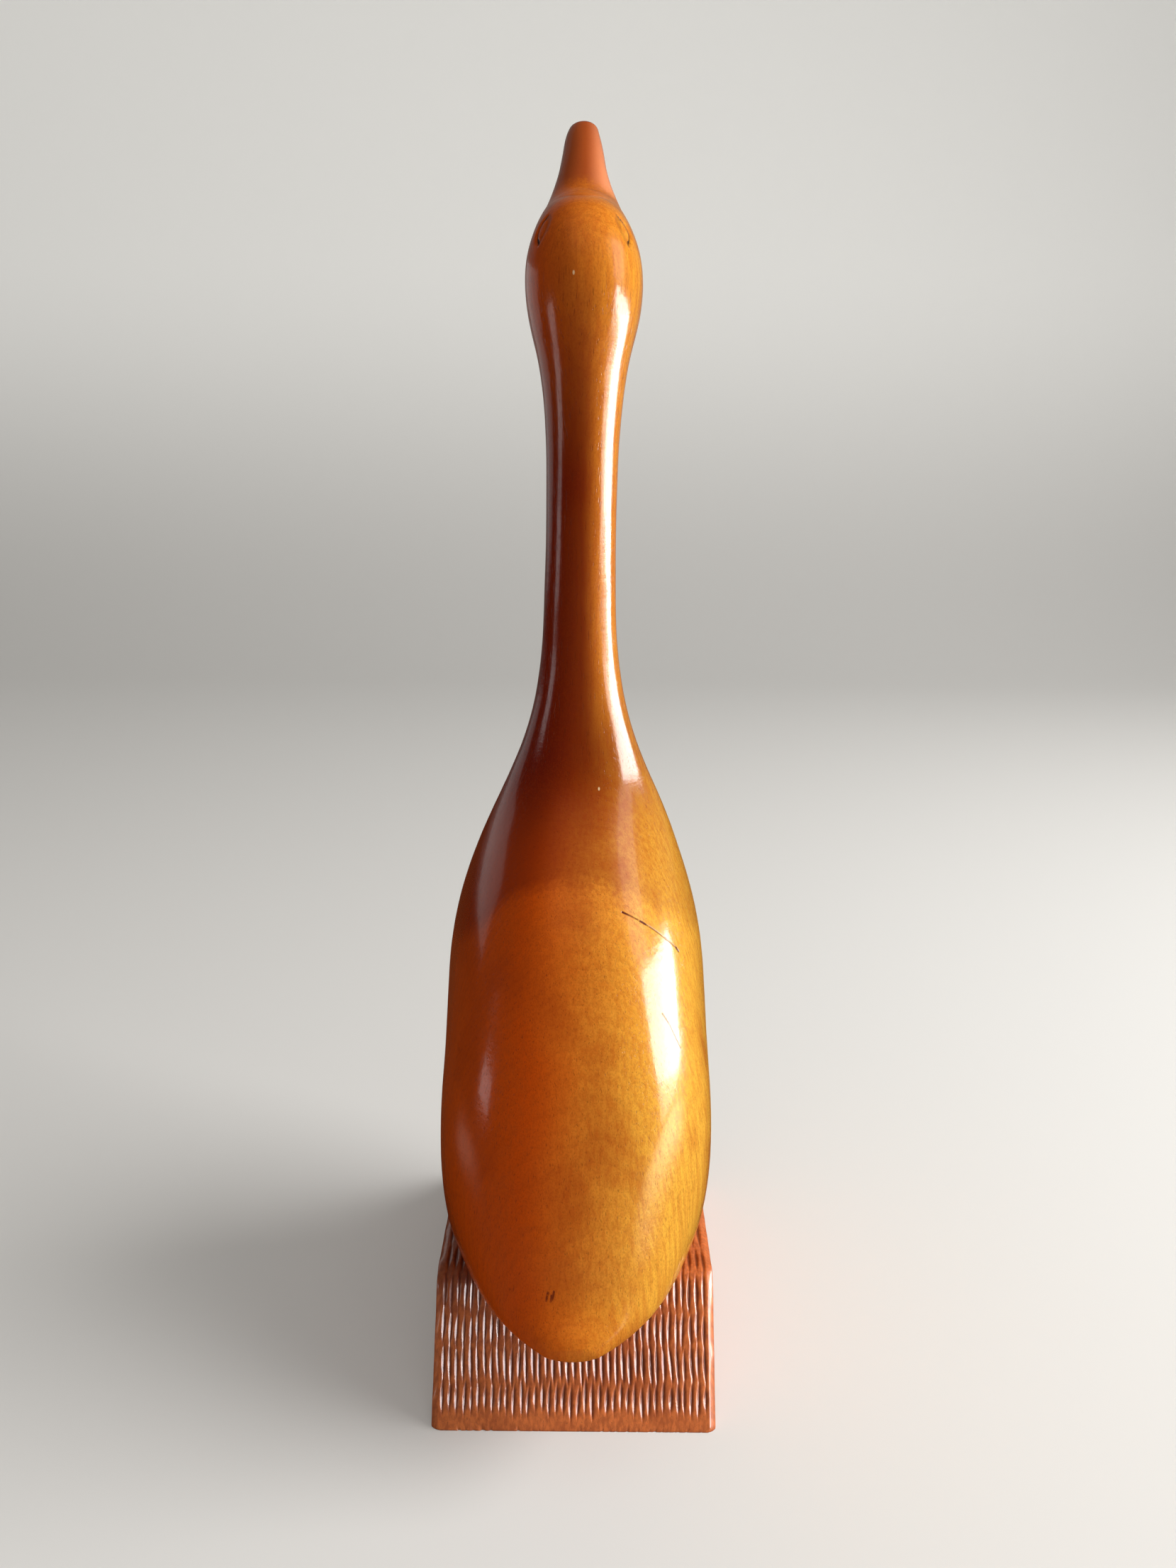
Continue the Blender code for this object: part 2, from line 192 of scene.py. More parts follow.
def smooth_through(places, rows, wanted):
    gaps = np.diff(places)
    slopes = np.diff(rows, axis=0) / gaps[:, None]
    count = len(places)
    system = np.eye(count)
    bends = np.zeros_like(rows)
    for inner in range(1, count - 1):
        before, after = gaps[inner - 1], gaps[inner]
        system[inner, inner - 1:inner + 2] = before, 2 * (before + after), after
        bends[inner] = 6 * (slopes[inner] - slopes[inner - 1])
    bends = np.linalg.solve(system, bends)
    span = np.clip(np.searchsorted(places, wanted) - 1, 0, count - 2)
    gap = gaps[span][:, None]
    later = (wanted - places[span])[:, None] / gap
    sooner = 1 - later
    straight = sooner * rows[span] + later * rows[span + 1]
    bent = (sooner ** 3 - sooner) * bends[span] + (later ** 3 - later) * bends[span + 1]
    return straight + bent * gap ** 2 / 6


print("along the bird's middle:", round(RIB_REACH[-1] / MM), "mm")

# %% [markdown]
# The rings lie close together on the head and the bill, where the forms are small, and wider
# apart on the body. Each one is an oval, changed by its two exponents: over the shoulders the
# back is flat and the flanks fall away straight, as the knife left them. At the two ends the rings
# shrink along a quarter circle, which rounds off the tip of the bill and the tail.

# %% Lay the rings of the skin
RING_POINTS = 240
# first rib, last rib and the distance from ring to ring between them
STRETCHES = ((0, 12, 1.4 * MM), (12, 15, 1.7 * MM), (15, 20, 0.36 * MM), (20, 24, 0.6 * MM))
TAIL_ROUND = 1.2 * MM
BILL_ROUND = 2.6 * MM
ROUNDING_RINGS = 9


def ring_reaches():
    ends = 1 - np.cos(np.linspace(0.02, math.pi / 2, ROUNDING_RINGS))
    reaches = [ends * TAIL_ROUND, RIB_REACH[-1] - ends * BILL_ROUND]
    for first, last, spacing in STRETCHES:
        start, end = RIB_REACH[first], RIB_REACH[last]
        reaches.append(np.linspace(start, end, round((end - start) / spacing), endpoint=False))
    reaches = np.unique(np.concatenate(reaches))
    inside = (reaches > 0) & (reaches < RIB_REACH[-1])
    return reaches[inside]


def end_rounding(reaches):
    tail = np.clip(reaches / TAIL_ROUND, 0, 1)
    tip = np.clip((RIB_REACH[-1] - reaches) / BILL_ROUND, 0, 1)
    return np.sqrt(1 - (1 - tail) ** 2) * np.sqrt(1 - (1 - tip) ** 2)


def bird_rings():
    reaches = ring_reaches()
    sections = smooth_through(RIB_REACH, RIB_ROWS, reaches)
    back, front = sections[:, None, 0:2], sections[:, None, 2:4]
    widest, width, flat, flank, sway = (sections[:, None, column] for column in range(4, 9))
    angles = 2 * math.pi * np.arange(RING_POINTS) / RING_POINTS
    c, s = np.cos(angles)[None, :], np.sin(angles)[None, :]
    depth = np.sign(c) * np.abs(c) ** (2 / np.where(c > 0, flank, np.maximum(flat, 2)))
    across = np.sign(s) * np.abs(s) ** (2 / flat)
    middle = back + (front - back) * widest[..., None]
    toward = np.where(depth[..., None] > 0, back - middle, front - middle)
    shrink = end_rounding(reaches)[:, None]
    side_view = middle + toward * (np.abs(depth) * shrink)[..., None]
    return np.concatenate([(across * width * shrink / 2 + sway)[..., None], side_view], axis=2)


rings = bird_rings()
print(rings.shape[0], "rings of", RING_POINTS, "points")

# %% [markdown]
# ## Grids and meshes
# The bird and the base are both grids that are bent into shape, so one helper turns a grid of
# points into a mesh: rows of four-sided faces and a few large faces that close it. Writing the
# points with numpy is far quicker than adding them one at a time.

# %% Turn grids into meshes
def grid_faces(rows, columns, closed):
    across = columns if closed else columns - 1
    row, column = np.meshgrid(np.arange(rows - 1), np.arange(across), indexing="ij")
    after = (column + 1) % columns
    here, next_row = row * columns, (row + 1) * columns
    corners = (here + column, here + after, next_row + after, next_row + column)
    return np.stack(corners, axis=-1).reshape(-1, 4).tolist()


def wooden_piece(name, points, faces, flat_from):
    """A piece of the carving. Its faces from number flat_from on stay flat."""
    mesh = bpy.data.meshes.new(name)
    mesh.from_pydata(points.tolist(), [], faces)
    shape = bmesh.new()
    shape.from_mesh(mesh)
    bmesh.ops.recalc_face_normals(shape, faces=shape.faces)
    shape.faces.ensure_lookup_table()
    for index, face in enumerate(shape.faces):
        face.smooth = index < flat_from
    shape.to_mesh(mesh)
    shape.free()
    piece = bpy.data.objects.new(name, mesh)
    bpy.context.scene.collection.objects.link(piece)
    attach(piece, "root")
    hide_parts(CARVING)
    print(name, "has", sum(len(face.vertices) - 2 for face in mesh.polygons), "triangles")
    return piece


def points_of(mesh):
    points = np.empty(len(mesh.vertices) * 3)
    mesh.vertices.foreach_get("co", points)
    return points.reshape(-1, 3)


def normals_of(mesh):
    normals = np.empty(len(mesh.vertices) * 3)
    mesh.vertex_normals.foreach_get("vector", normals)
    return normals.reshape(-1, 3)


# %% [markdown]
# ## The bird
# The skin is closed at both ends and then touched up, as a carver would. A sanded body is
# never quite even, and the slow wobble of a tenth of a millimetre is what makes the reflections
# wander. Round each eye runs an almond-shaped groove, cut deeper along its lower line. Its distance
# is easy to find if the almond is taken as the overlap of two circles: a point is as far from it as
# from the further circle.

# %% Carve the bird and its eyes
EYE_LENGTH = 6.4 * MM
EYE_HEIGHT = 2.7 * MM
EYE_TILT = math.radians(66)
EYE_MIDDLE = head(-0.207, 0.832)
EYE_GROOVE = 0.42 * MM
EYE_CUT = 0.60 * MM
UPPER_LID = 0.25                # the knife pressed less on the upper line
EYE_CIRCLE = (EYE_LENGTH ** 2 + EYE_HEIGHT ** 2) / (4 * EYE_HEIGHT)
EYE_ACROSS = Vector((-math.sin(EYE_TILT), math.cos(EYE_TILT)))
EYE_CENTRES = [
    EYE_MIDDLE + side * (EYE_CIRCLE - EYE_HEIGHT / 2) * EYE_ACROSS
    for side in (-1, 1)
]
WOBBLES = ((16 * MM, 0.13 * MM), (5 * MM, 0.025 * MM))     # size and height of each

bird_faces = grid_faces(len(rings), RING_POINTS, closed=True)
quads = len(bird_faces)
last_ring = (len(rings) - 1) * RING_POINTS
bird_faces.append(list(range(RING_POINTS)))
bird_faces.append(list(range(last_ring, last_ring + RING_POINTS)))
bird = wooden_piece("carved_bird", rings.reshape(-1, 3), bird_faces, quads + 2)

points, normals = points_of(bird.data), normals_of(bird.data)
lift = np.array([
    sum(height * noise.noise(Vector(point) / size) for size, height in WOBBLES) - WOBBLES[0][1] / 2
    for point in points
])
upper, lower = [
    np.linalg.norm(points[:, 1:] - np.array(centre), axis=1) - EYE_CIRCLE
    for centre in EYE_CENTRES
]
from_almond = np.maximum(upper, lower)
pressed = np.where(lower > upper, 1.0, UPPER_LID)
lift -= EYE_CUT * pressed * np.exp(-(from_almond / EYE_GROOVE) ** 2)
points += normals * lift[:, None]
points[:, 0] = np.clip(points[:, 0], low.x, high.x)     # the two faces of the block
bird.data.vertices.foreach_set("co", points.ravel())
bird.data.update()
bird_skin = BVHTree.FromPolygons(points.tolist(), [face.vertices for face in bird.data.polygons])
print("eye circles of", round(EYE_CIRCLE / MM, 2), "mm")

# %% [markdown]
# ## The base's outline
# The base is a block whose end faces lean in and roll over into the top. Seen from the side it is
# one line: up the near face, over the top and down the far face. Distances along that line are
# what the carver would measure with a strip of paper, so the gouge cuts are laid out along it.

# %% Draw the base from the side
FACE_LEAN = 19.0 * MM
TOP_EDGE_RADIUS = 7.0 * MM
SIDE_EDGE_RADIUS = 1.6 * MM
OUTLINE_STEP = 0.72 * MM
EVEN_FROM = 2 * MM              # the even marks keep this far from both feet
FOOT_MARKS = (0.12, 0.25, 0.4, 0.6, 0.9, 1.3)      # closer together near the foot, in millimetres


def rolled_corner(before, corner, after, steps=24):
    back, ahead = (before - corner).normalized(), (after - corner).normalized()
    half = back.angle(ahead) / 2
    middle = corner + (back + ahead).normalized() * TOP_EDGE_RADIUS / math.sin(half)
    first = corner + back * TOP_EDGE_RADIUS / math.tan(half) - middle
    last = corner + ahead * TOP_EDGE_RADIUS / math.tan(half) - middle
    turn = first.angle_signed(last)
    return [middle + Matrix.Rotation(-turn * step / steps, 2) @ first for step in range(steps + 1)]


def base_outline():
    half = BASE_DEPTH / 2
    corners = [
        Vector((-half, 0)), Vector((FACE_LEAN - half, BASE_HEIGHT)),
        Vector((half - FACE_LEAN, BASE_HEIGHT)), Vector((half, 0)),
    ]
    line = [corners[0], *rolled_corner(*corners[0:3]), *rolled_corner(*corners[1:4]), corners[3]]
    line = np.array([tuple(place) for place in line])
    reach = np.concatenate([[0], np.cumsum(np.linalg.norm(np.diff(line, axis=0), axis=1))])
    feet = np.array(FOOT_MARKS) * MM
    even = np.linspace(EVEN_FROM, reach[-1] - EVEN_FROM, round(reach[-1] / OUTLINE_STEP))
    marks = np.concatenate([[0], feet, even, reach[-1] - feet[::-1], [reach[-1]]])
    places = np.stack([np.interp(marks, reach, line[:, side]) for side in (0, 1)], axis=1)
    along = np.gradient(places, axis=0)
    along /= np.linalg.norm(along, axis=1)[:, None]
    return marks, places, np.stack([-along[:, 1], along[:, 0]], axis=1)


marks, outline, outward = base_outline()
print("outline", round(marks[-1] / MM, 1), "mm long,", len(marks), "marks")

# %% [markdown]
# ## The gouge cuts
# Each cut is one push of a small gouge: it dives in, runs a centimetre and comes out, so it is
# widest and deepest in the middle and pointed at both ends. A bump map could suggest this, but the
# cuts glint on one wall and hide in shadow on the other, so they are real valleys. The grid holds
# one depth for each point, and where two cuts overlap the deeper one counts. No row has quite the
# same number of cuts as the next, and none of them is straight.

# %% Push the gouge through every row
ACROSS_STEP = 0.145 * MM
CUT_ROWS = (4.1, 11.0, 19.6, 27.4, 37.0, 46.0, 59.0, 71.5, 83.5, 95.5, 106.5, 116.0, 124.0,
            132.5, 139.4)       # where each row starts along the outline, in millimetres
CUT_PITCH = 1.74 * MM
CUT_WIDTH = 1.44 * MM
CUT_DEPTH = 0.50 * MM
ROW_OVERLAP = 1.9 * MM
BLUNT_ENDS = 0.6                # below 1 a cut stays wide almost to its ends

hand = random.Random(11)
inner_half = BASE_WIDTH / 2 - SIDE_EDGE_RADIUS
across_places = np.linspace(-inner_half, inner_half, round(2 * inner_half / ACROSS_STEP))
cut_depths = np.zeros((len(marks), len(across_places)))


def push_gouge(across, start, end, width, depth, lean, bow):
    rows = np.nonzero((marks > start) & (marks < end))[0]
    travel = (marks[rows] - start) / (end - start)
    swell = np.sin(math.pi * travel) ** BLUNT_ENDS
    bent = bow * (4 * travel * (1 - travel) - 0.5)
    middle = across + lean * (marks[rows] - (start + end) / 2) + bent
    side = np.abs(across_places[None, :] - middle[:, None]) / (width / 2 * swell[:, None])
    valley = depth * (swell ** 0.95)[:, None] * np.clip(1 - side ** 1.05, 0, None)
    cut_depths[rows] = np.maximum(cut_depths[rows], valley)


for start, end in zip(CUT_ROWS, CUT_ROWS[1:]):
    count = round(2 * inner_half / CUT_PITCH) + hand.choice((-1, 0, 0, 0, 1))
    pitch = 2 * inner_half / count
    shift = hand.uniform(-0.16, 0.16) * pitch
    row_lean = hand.gauss(0, 0.02)
    for cut in range(count):
        push_gouge(
            across=-inner_half + (cut + 0.5) * pitch + shift + hand.gauss(0, 0.09) * MM,
            start=start * MM - ROW_OVERLAP * hand.uniform(-0.2, 1),
            end=end * MM + ROW_OVERLAP * hand.uniform(-0.4, 0.8),
            width=CUT_WIDTH * hand.uniform(0.86, 1.08),
            depth=CUT_DEPTH * hand.uniform(0.86, 1.08),
            lean=row_lean + hand.gauss(0, 0.022),
            bow=hand.gauss(0, 0.09) * MM,
        )
print("deepest cut", round(cut_depths.max() / MM, 2), "mm")

# %% [markdown]
# A gouge needs room for its handle, so the cuts fade out where the bird's belly comes close above
# the top. How much room there is comes from a ray sent up to the bird from each point. The foot
# stays plain, apart from a few tiny chips where the end grain broke along its lower edge.

# %% Fade the cuts under the belly and chip the foot
LEAST_ROOM, FULL_ROOM = 1.0 * MM, 4.5 * MM
RAY_START = 6 * MM              # inside the block, below the buried part of the belly
FOOT_ROUND = 0.5 * MM
CHIP_SIZE = 1.1 * MM
CHIP_DEPTH = 0.8 * MM
CHIP_REACH = 1.4 * MM
FEW_CHIPS = 0.18                # noise below this leaves the edge whole

top_rows = np.nonzero(outward[:, 1] > 0.95)[0]
for row in top_rows:
    for column in np.nonzero(cut_depths[row] > 0)[0]:
        start = Vector((across_places[column], outline[row, 0], outline[row, 1] - RAY_START))
        hit = bird_skin.ray_cast(start, Vector((0, 0, 1)))[0]
        if hit is not None:
            room = (hit.z - outline[row, 1] - LEAST_ROOM) / (FULL_ROOM - LEAST_ROOM)
            cut_depths[row, column] *= min(max(room, 0), 1)


def foot_chips(across, end):
    ragged = noise.noise(Vector((across / CHIP_SIZE, end, 3.7)))
    return max(0.0, ragged - FEW_CHIPS) * CHIP_DEPTH


from_foot = np.minimum(marks, marks[-1] - marks)
near_foot = np.clip(1 - from_foot / FOOT_ROUND, 0, 1)
foot_inset = (FOOT_ROUND * (1 - np.sqrt(1 - near_foot ** 2)))[:, None]
near_chips = np.clip(1 - from_foot / CHIP_REACH, 0, 1)[:, None]
chips = np.array([[foot_chips(across, end) for across in across_places] for end in (0, 9)])
chips = np.where((marks < marks[-1] / 2)[:, None], chips[0], chips[1]) * near_chips
print("largest chip", round(chips.max() / MM, 2), "mm")

# %% [markdown]
# ## The base
# Depths and outline come together in one grid, with a few extra columns that roll over the long
# edges on both sides. Those edges are worn more than rounded, and keep a carver's slight waviness.
# At the foot each end face rounds in a little, and its two corners are pulled in as well.

# %% Build the base
EDGE_STEPS = 7
EDGE_DROP = 1.25 * MM
EDGE_WEAR = 1.6                 # 1 is round, 2 a straight bevel
EDGE_UNEVEN = 0.45
EDGE_WAVE = 5 * MM
CORNER_ROUND = 1.3 * MM
CORNER_PULL = 0.7               # how much of the rounding pulls each corner in sideways


def side_edges():
    angles = np.radians(np.linspace(0, 90, EDGE_STEPS + 1))[1:]
    across = inner_half + SIDE_EDGE_RADIUS * np.sin(angles) ** EDGE_WEAR
    return across, EDGE_DROP * (1 - np.cos(angles) ** EDGE_WEAR)


edge_across, edge_drop = side_edges()
columns = np.concatenate([-edge_across[::-1], across_places, edge_across])
sink = cut_depths + chips
outer_left = np.repeat(sink[:, :1], EDGE_STEPS, axis=1)
outer_right = np.repeat(sink[:, -1:], EDGE_STEPS, axis=1)
fading = np.linspace(1, 0, EDGE_STEPS + 1)[1:]
sink = np.concatenate([outer_left * fading[::-1], sink, outer_right * fading], axis=1) + foot_inset
drops = np.concatenate([edge_drop[::-1], np.zeros(len(across_places)), edge_drop])
uneven = np.array([
    [noise.noise(Vector((mark / EDGE_WAVE, side, 0.4))) for side in (0, 8)]
    for mark in marks
])
uneven = np.where(columns[None, :] < 0, uneven[:, :1], uneven[:, 1:])
total = sink + drops[None, :] * (1 + EDGE_UNEVEN * uneven)

upright = np.abs(outward[:, 1]) < 0.75
straight_in = total / np.where(upright, -outward[:, 0], 1)[:, None]
grid = np.empty((len(marks), len(columns), 3))
corner = np.clip(1 - from_foot / CORNER_ROUND, 0, 1)
corner_inset = CORNER_ROUND * (1 - np.sqrt(1 - corner ** 2))
grid[..., 0] = columns[None, :] * (1 - CORNER_PULL * corner_inset / (BASE_WIDTH / 2))[:, None]
grid[..., 1] = outline[:, None, 0] - outward[:, None, 0] * total
grid[..., 2] = outline[:, None, 1] - outward[:, None, 1] * total
foot_rows = [0, len(marks) - 1]
grid[foot_rows, :, 1] = outline[foot_rows, 0][:, None] + straight_in[foot_rows]
grid[..., 2] = np.clip(grid[..., 2], 0, None)
grid[foot_rows, :, 2] = 0
print("base grid", grid.shape)

# %% [markdown]
# The grid is open below and at its two long sides, and three large faces close it. How deep each
# point was cut is kept on the mesh as an attribute, so that the valleys can be painted darker:
# painted shade, with some stain pooled there.

# %% Close the base and keep the depth of its cuts
base_faces = grid_faces(len(marks), len(columns), closed=False)
quads = len(base_faces)
width = len(columns)
last_row = (len(marks) - 1) * width
base_faces.append(list(range(last_row, last_row + width)) + list(range(width - 1, -1, -1)))
base_faces.append([row * width for row in range(len(marks))])
base_faces.append([row * width + width - 1 for row in range(len(marks))])
base = wooden_piece("carved_base", grid.reshape(-1, 3), base_faces, quads)
all_depths = np.pad(cut_depths, ((0, 0), (EDGE_STEPS, EDGE_STEPS)))
cut_share = base.data.attributes.new("cut", "FLOAT", "POINT")
cut_share.data.foreach_set("value", (all_depths / CUT_DEPTH).ravel())
print("attribute: cut, up to", round(all_depths.max() / CUT_DEPTH, 2))

# %% [markdown]
# ## Writing materials as sums
# A material is a web of nodes. Written out link by link it is hard to read, so one small class
# wraps the output of a node and lets it stand in a sum: adding two wires makes a Math node, and
# so on. Every other kind of node comes from one method, which takes the node's type, its settings
# and what goes into its sockets. Colours are given as they are read off a screen, from 0 to 255.

# %% The wire between two nodes
class Wire:
    def __init__(self, tree, socket=None):
        self.tree = tree
        self.socket = socket

    def node(self, kind, settings, values, result=0):
        made = self.tree.nodes.new(kind)
        for name, setting in settings.items():
            setattr(made, name, setting)
        for name, value in values.items():
            if isinstance(value, Wire):
                self.tree.links.new(value.socket, made.inputs[name])
            else:
                made.inputs[name].default_value = value
        return Wire(self.tree, made.outputs[result])

    def maths(self, operation, first, second=0.0):
        return self.node("ShaderNodeMath", {"operation": operation}, {0: first, 1: second})

    def __add__(self, other):
        return self.maths("ADD", self, other)

    def __radd__(self, other):
        return self.maths("ADD", other, self)

    def __sub__(self, other):
        return self.maths("SUBTRACT", self, other)

    def __rsub__(self, other):
        return self.maths("SUBTRACT", other, self)

    def __mul__(self, other):
        return self.maths("MULTIPLY", self, other)

    def __rmul__(self, other):
        return self.maths("MULTIPLY", other, self)

    def __truediv__(self, other):
        return self.maths("DIVIDE", self, other)

    def __abs__(self):
        return self.maths("ABSOLUTE", self)

    def least(self, other):
        return self.maths("MINIMUM", self, other)

    def most(self, other):
        return self.maths("MAXIMUM", self, other)

    def fade(self, start, end):
        """0 up to start, 1 from end on, and smooth in between; start may be the larger one."""
        return self.node("ShaderNodeMapRange", {"interpolation_type": "SMOOTHSTEP"},
                         {"Value": self, "From Min": start, "From Max": end})

    def vector(self, operation, other, result=0):
        return self.node("ShaderNodeVectorMath", {"operation": operation}, {0: self, 1: other}, result)

    def length(self):
        return self.node("ShaderNodeVectorMath", {"operation": "LENGTH"}, {0: self}, "Value")

    def part(self, axis):
        return self.node("ShaderNodeSeparateXYZ", {}, {0: self}, axis)

    def noise(self, stretch, detail=2.0):
        """Noise on a place, with its grain this many millimetres long on each axis."""
        scaled = self.vector("DIVIDE", stretch)
        return self.node("ShaderNodeTexNoise", {}, {"Vector": scaled, "Scale": 1.0, "Detail": detail})

    def flat_colour(self, colour):
        made = self.node("ShaderNodeRGB", {}, {})
        made.socket.default_value = colour
        return made

    def toward(self, other, share):
        """This colour mixed with another. Sockets 6, 7 and 2 are the Mix node's two colours and result."""
        return self.node("ShaderNodeMix", {"data_type": "RGBA"}, {0: share, 6: self, 7: other}, 2)


def paint(red, green, blue):
    linear = []
    for value in (red, green, blue):
        value /= 255
        linear.append(value / 12.92 if value <= 0.04045 else ((value + 0.055) / 1.055) ** 2.4)
    return (*linear, 1.0)


AMBER = paint(210, 78, 0)
print("amber varnish in linear light:", [round(value, 3) for value in AMBER[:3]])

# %% [markdown]
# ## The wood itself
# The block's grain stands upright in bird and base alike. The heart of the tree lay some way in
# front of the bird, so each year's ring is a tall cylinder round that line. Where the rounded back
# cuts through these cylinders, they come out as nested arches, with no drawing needed. Between
# them lie short upright pores and long faint fibres. All of them are read from the place in the
# block in millimetres, so the figure runs through the carving as it does in real wood.

# %% The figure of the wood
HEART = (-4.0, 95.0)            # the middle of the tree, in millimetres
YEAR = 1.45                     # millimetres between two rings


class Figure:
    def __init__(self, material):
        tree = material.node_tree
        start = Wire(tree)
        metres = start.node("ShaderNodeTexCoord", {}, {}, "Object")
        self.place = metres.vector("MULTIPLY", (1000, 1000, 1000))
        x, y, z = (self.place.part(axis) for axis in "XYZ")
        drift = self.place.noise((22, 22, 60)) * 7.0 + self.place.noise((5, 5, 26)) * 0.9
        flat = start.node("ShaderNodeCombineXYZ", {}, {0: x - HEART[0], 1: y - HEART[1]})
        years = (flat.length() + drift) / YEAR
        through = years.maths("FRACT", years)
        whole = years.maths("FLOOR", years)
        strength = start.node("ShaderNodeTexWhiteNoise", {"noise_dimensions": "1D"}, {"W": whole})
        self.rings = through.fade(0.25, 0.93) * through.fade(1.0, 0.95) * (0.35 + 0.65 * strength)
        self.pores = self.place.noise((0.30, 0.30, 3.2), 1.0).fade(0.62, 0.74)
        self.fibres = self.place.noise((0.9, 0.9, 16.0), 3.0)
        self.ripple = self.place.noise((4.5, 4.5, 1.3), 2.0)
        self.clouds = self.place.noise((17, 17, 30), 2.0)


def new_material(name):
    material = bpy.data.materials.new(name)
    material.use_nodes = True
    return material, material.node_tree.nodes["Principled BSDF"]


def finish_with(material, shader, colour, roughness, height, coat, coat_roughness):
    """Link the sums to the shader. The coat may be missing in places, such as in a crack."""
    tree = material.node_tree
    bump = colour.node("ShaderNodeBump", {}, {"Strength": 1.0, "Distance": MM, "Height": height})
    tree.links.new(colour.socket, shader.inputs["Base Color"])
    tree.links.new(roughness.socket, shader.inputs["Roughness"])
    tree.links.new(bump.socket, shader.inputs["Normal"])
    tree.links.new(coat.socket, shader.inputs["Coat Weight"])
    shader.inputs["Coat Roughness"].default_value = coat_roughness
    shader.inputs["Coat IOR"].default_value = 1.5
    shader.inputs["Specular IOR Level"].default_value = 0.5
    print(material.name, "uses", len(tree.nodes), "nodes")


print("rings", YEAR, "mm apart round", HEART)

# %% [markdown]
# ## Amber varnish, stained bill and small scars
# The bird is pale wood under several coats of amber varnish. On the right, where the light falls,
# the wood is painted lighter and golden: painted light. Above an arch over the shoulders and up the
# neck it is painted red-brown: painted shade, held back on the neck's lit side. The bill was stained
# first, and the stain crept a little way along the fibres, so its edge is soft; the stain is painted
# lighter on the bill's right, as painted light. The crease at the bill's root and the groove round
# each eye are painted dark: painted shade. The scars are short lines: a crack with a chip at its
# end, a hairline below it and a knot low on the back. The distance from a line in space gives each
# its width. A thin coat over a bumped base gives both the clean and the rippled gloss.

# %% Finish the bird
CRACK = ((10.6, -28.1, 126.4), (16.3, -26.7, 122.8), (20.6, -24.6, 119.0), (24.1, -21.7, 114.6))
HAIRLINE = ((20.3, -35.0, 103.6), (22.1, -34.7, 100.5), (24.8, -34.7, 94.5))
KNOT = ((-6.3, -62.5, 46.2), (-5.4, -62.7, 45.6), (-4.9, -62.6, 46.6))
KNOT_HEIGHT = 2.2
CHIP_RUN = (0.9, 0.3, -1.0)
SHADE_ARCH = (134.5, 139.5)   # the height where the painted shade starts and where it is full
ARCH_BEND = 0.022
EYES_FROM = (266, 268)
SPECKS = ((-1.8, -17.1, 267.9), (4.9, -9.9, 151.5))


def from_line(place, start, end):
    """Distance of a place from a straight scar, in millimetres."""
    run = Vector(end) - Vector(start)
    offset = place.vector("SUBTRACT", tuple(start))
    share = offset.vector("DOT_PRODUCT", tuple(run / run.length_squared), "Value").most(0.0).least(1.0)
    nearest = place.node("ShaderNodeVectorMath", {"operation": "SCALE"}, {0: tuple(run), "Scale": share})
    return offset.vector("SUBTRACT", nearest).length()


def from_eye(place):
    """Distance from the almond round the eye, less than 0 inside, and how far it is the lower line's."""
    side = place.vector("MULTIPLY", (0, 1, 1))
    upper, lower = [
        side.vector("SUBTRACT", (0, centre.x / MM, centre.y / MM)).length() - EYE_CIRCLE / MM
        for centre in EYE_CENTRES
    ]
    return upper.most(lower), lower - upper


bird_wood, bird_shader = new_material("amber varnish")
figure = Figure(bird_wood)
place = figure.place
across, height_up = place.part("X"), place.part("Z")

# painted light: the right side, where the light falls, is painted lighter and golden
painted_light_right = (across + figure.clouds * 12.0).fade(-9.0, 34.0)
# painted shade: above an arch over the shoulders and up the neck the wood is painted red-brown, less on
# the neck's lit side
arch = height_up + across * across * ARCH_BEND + figure.clouds * 6.0 + figure.fibres * 2.5
painted_shade = arch.fade(*SHADE_ARCH) * (0.58 + 0.42 * height_up.fade(132, 160))
painted_shade = painted_shade * height_up.fade(285, 222)
lit_side = across.fade(0.0, 5.5) * height_up.fade(152, 190)
painted_shade = painted_shade * (1.0 - 0.85 * lit_side)

colour = place.flat_colour(AMBER)
colour = colour.toward(paint(250, 188, 66), painted_light_right)
colour = colour.toward(paint(190, 76, 3), figure.fibres.fade(0.35, 0.7) * 0.35)
colour = colour.toward(paint(176, 62, 2), figure.clouds.fade(0.48, 0.66) * 0.45)
colour = colour.toward(paint(112, 10, 0), painted_shade * (0.98 - 0.55 * painted_light_right))
colour = colour.toward(paint(136, 44, 2), figure.rings * 0.11)
mottle = place.noise((0.38, 0.38, 0.55), 1.0)
colour = colour.toward(paint(150, 52, 2), mottle.fade(0.42, 0.66) * 0.22)
colour = colour.toward(paint(104, 36, 4), figure.pores * 0.4)

out_along = place.vector("SUBTRACT", (0, BILL_ROOT.x / MM, BILL_ROOT.y / MM))
out_along = out_along.vector("DOT_PRODUCT", (0, BILL_OUTWARD.x, BILL_OUTWARD.y), "Value")
creep = place.noise((0.8, 0.8, 3.5), 3.0)
stained = (out_along + creep * 5.0 + across.fade(-2, 6) * 1.5).fade(1.5, 9.0)
# painted light: the stain is painted lighter toward the bill's right side
stain = place.flat_colour(paint(164, 72, 28)).toward(paint(250, 156, 106), across.fade(0.0, 7.0))
colour = colour.toward(stain, stained * 0.94)
# painted shade: a dark line along the crease where the forehead meets the bill
bill_crease_shade = abs(out_along + 0.8).fade(0.30, 0.1) * place.part("Y").fade(9.0, 5.0)
bill_crease_shade = bill_crease_shade * across.fade(-1.0, 3.0)
colour = colour.toward(paint(120, 60, 20), bill_crease_shade * 0.5)

eye, lower_line = from_eye(place)
on_head = height_up.fade(*EYES_FROM)
# painted shade: the groove round each eye is painted dark, most along its lower line
eye_line = abs(eye).fade(0.56, 0.34) * on_head * (0.25 + 0.75 * lower_line.fade(-0.4, 0.2))
colour = colour.toward(paint(44, 10, 2), eye_line)

